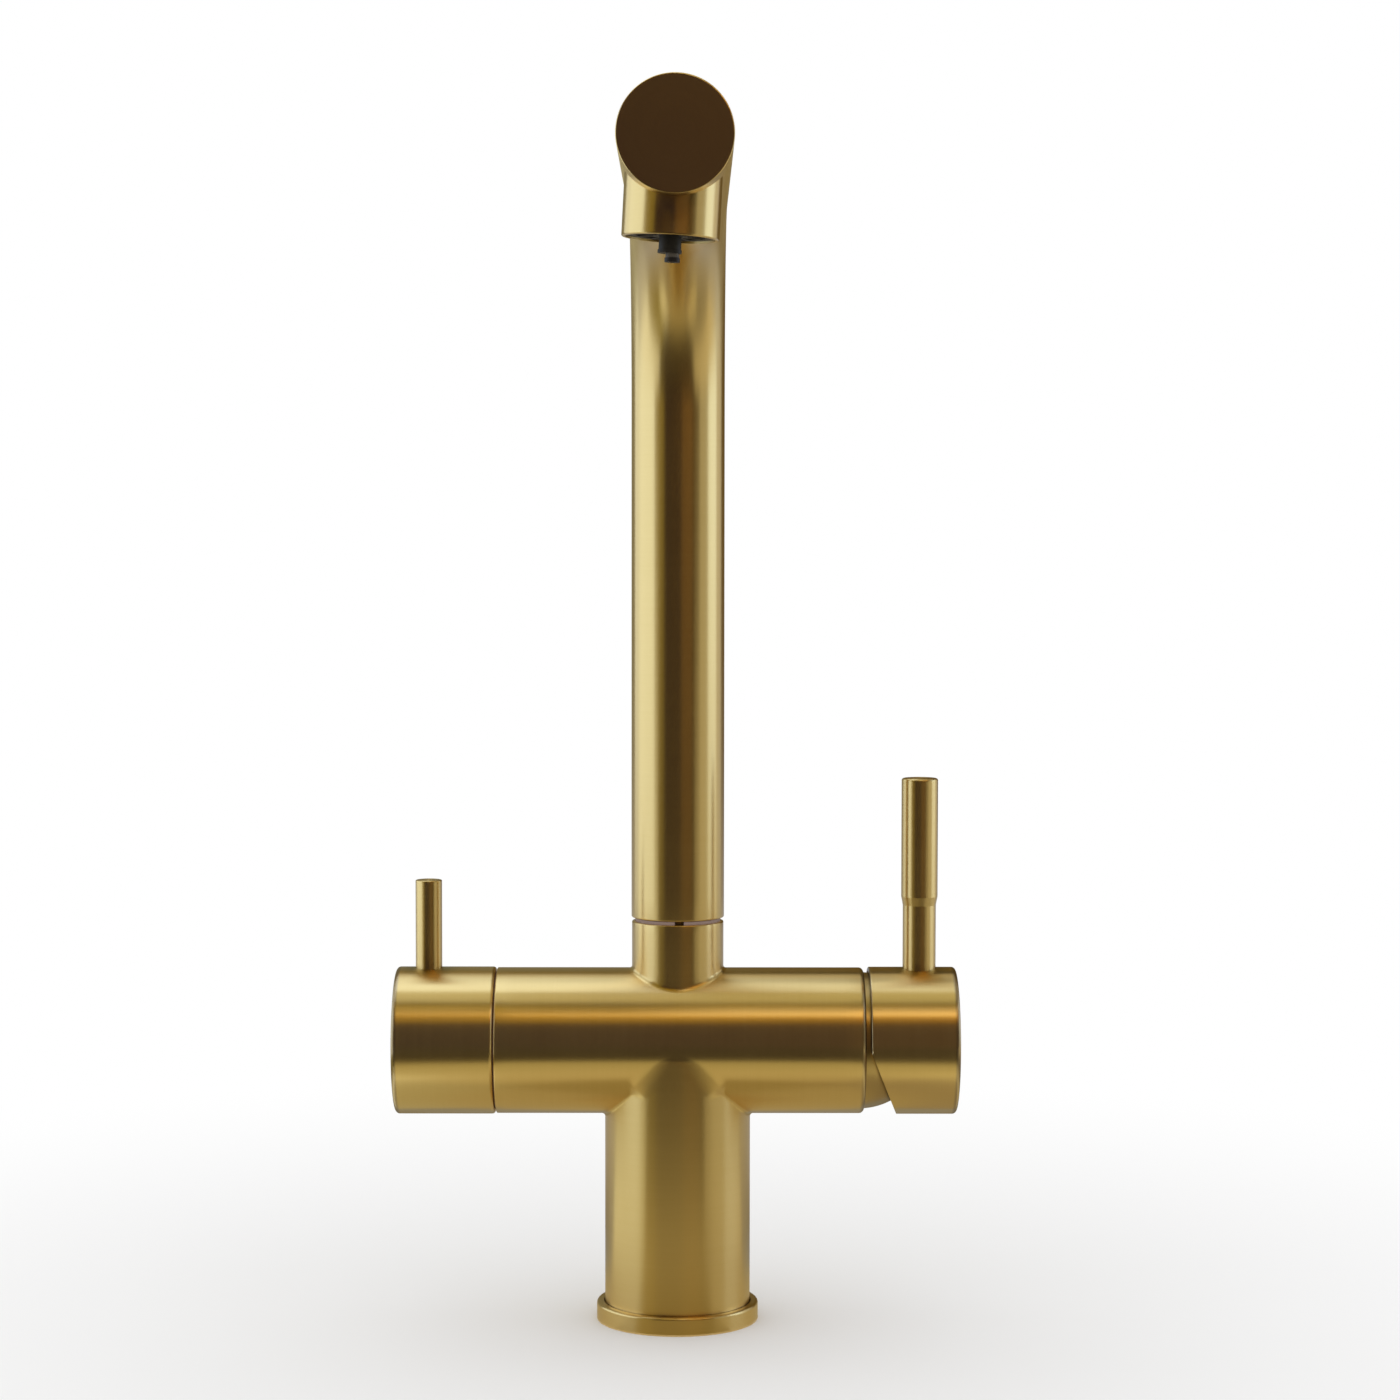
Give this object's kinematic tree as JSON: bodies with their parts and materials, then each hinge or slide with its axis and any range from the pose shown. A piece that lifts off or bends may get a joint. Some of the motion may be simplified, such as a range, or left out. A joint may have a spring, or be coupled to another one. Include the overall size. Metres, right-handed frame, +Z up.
{
  "type": "three way filtered water tap",
  "caption": "Deck-mounted brushed gold kitchen tap: tall swivelling spout, tilting and turning mixer lever, turn lever for filtered water with its own waterway and nozzle.",
  "frame": {"origin": "centre of the base's underside, where the tap stands on the worktop, on the spout's swivel axis", "axes": "+Z up, -Y to the front along the level run of the spout, +X to the right, where the mixer lever is"},
  "size_m": [0.1695, 0.235, 0.3455],
  "materials": {
    "brushed_gold": "satin brushed, lacquered",
    "raw_brass": "machined",
    "copper_pipe": "drawn",
    "steel": "fine turned",
    "rubber": "matte",
    "ceramic": "lapped ceramic",
    "nylon": "moulded",
    "hose_white": "extruded",
    "dark_plastic": "moulded"
  },
  "bodies": {
    "tap": {"tap_body": "brushed_gold", "base_ring": "brushed_gold", "base_gasket": "rubber", "inlet_block": "raw_brass", "hot_riser": "copper_pipe", "cold_riser": "copper_pipe", "filter_riser": "copper_pipe", "cartridge_housing": "dark_plastic", "cartridge_seals": "rubber", "fixed_mixing_disc": "ceramic", "cartridge_nut": "raw_brass", "dome_cover": "brushed_gold", "headwork": "raw_brass", "headwork_seal": "rubber", "filter_fixed_disc": "ceramic", "filter_guide_ring": "dark_plastic", "swivel_bush": "nylon", "slip_ring": "nylon", "spout_grub_screw": "steel", "feed_pipe": "steel"},
    "mixer_turning_carrier": {"mixer_carrier": "dark_plastic", "stem_pin": "steel"},
    "mixer_disc": {"moving_mixing_disc": "ceramic", "disc_driver": "dark_plastic"},
    "mixer_handle": {"mixer_stem": "steel", "mixer_cap": "brushed_gold", "mixer_lever_rod": "brushed_gold", "mixer_lever_sleeve": "brushed_gold", "mixer_grub_screw": "steel"},
    "filter_handle": {"filter_spindle": "raw_brass", "filter_moving_disc": "ceramic", "spindle_o_rings": "rubber", "filter_cap": "brushed_gold", "filter_lever": "brushed_gold", "filter_grub_screw": "steel"},
    "spout": {"spout_tube": "brushed_gold", "spout_end_disc": "brushed_gold", "spout_hub": "raw_brass", "hub_o_rings": "rubber", "inner_hose": "hose_white", "outlet_housing": "brushed_gold", "aerator_washer": "rubber", "aerator_screen": "steel", "aerator_body": "dark_plastic", "filter_nozzle": "dark_plastic", "nozzle_tip": "dark_plastic"}
  },
  "joints": [
    {"name": "spout_swivel", "type": "hinge", "parent": "tap", "child": "spout", "pos_m": [0, 0, 0.1215], "axis": [0, 0, 1], "continuous": true},
    {"name": "mixer_turn", "type": "hinge", "parent": "tap", "child": "mixer_turning_carrier", "pos_m": [0.055, 0, 0.085], "axis": [1, 0, 0], "range_deg": [-45, 45]},
    {"name": "mixer_lift", "type": "hinge", "parent": "mixer_turning_carrier", "child": "mixer_handle", "pos_m": [0.055, 0, 0.085], "axis": [0, 1, 0], "range_deg": [0, 20]},
    {"name": "disc_slide", "type": "slide", "parent": "mixer_turning_carrier", "child": "mixer_disc", "axis": [0, 0, 1], "range_m": [0, 0.0049]},
    {"name": "filter_turn", "type": "hinge", "parent": "tap", "child": "filter_handle", "pos_m": [-0.0754, 0, 0.085], "axis": [1, 0, 0], "range_deg": [0, 90]}
  ],
  "couplings": [
    {"joint": "disc_slide", "follows": "mixer_lift", "m_per_rad": 0.014}
  ]
}
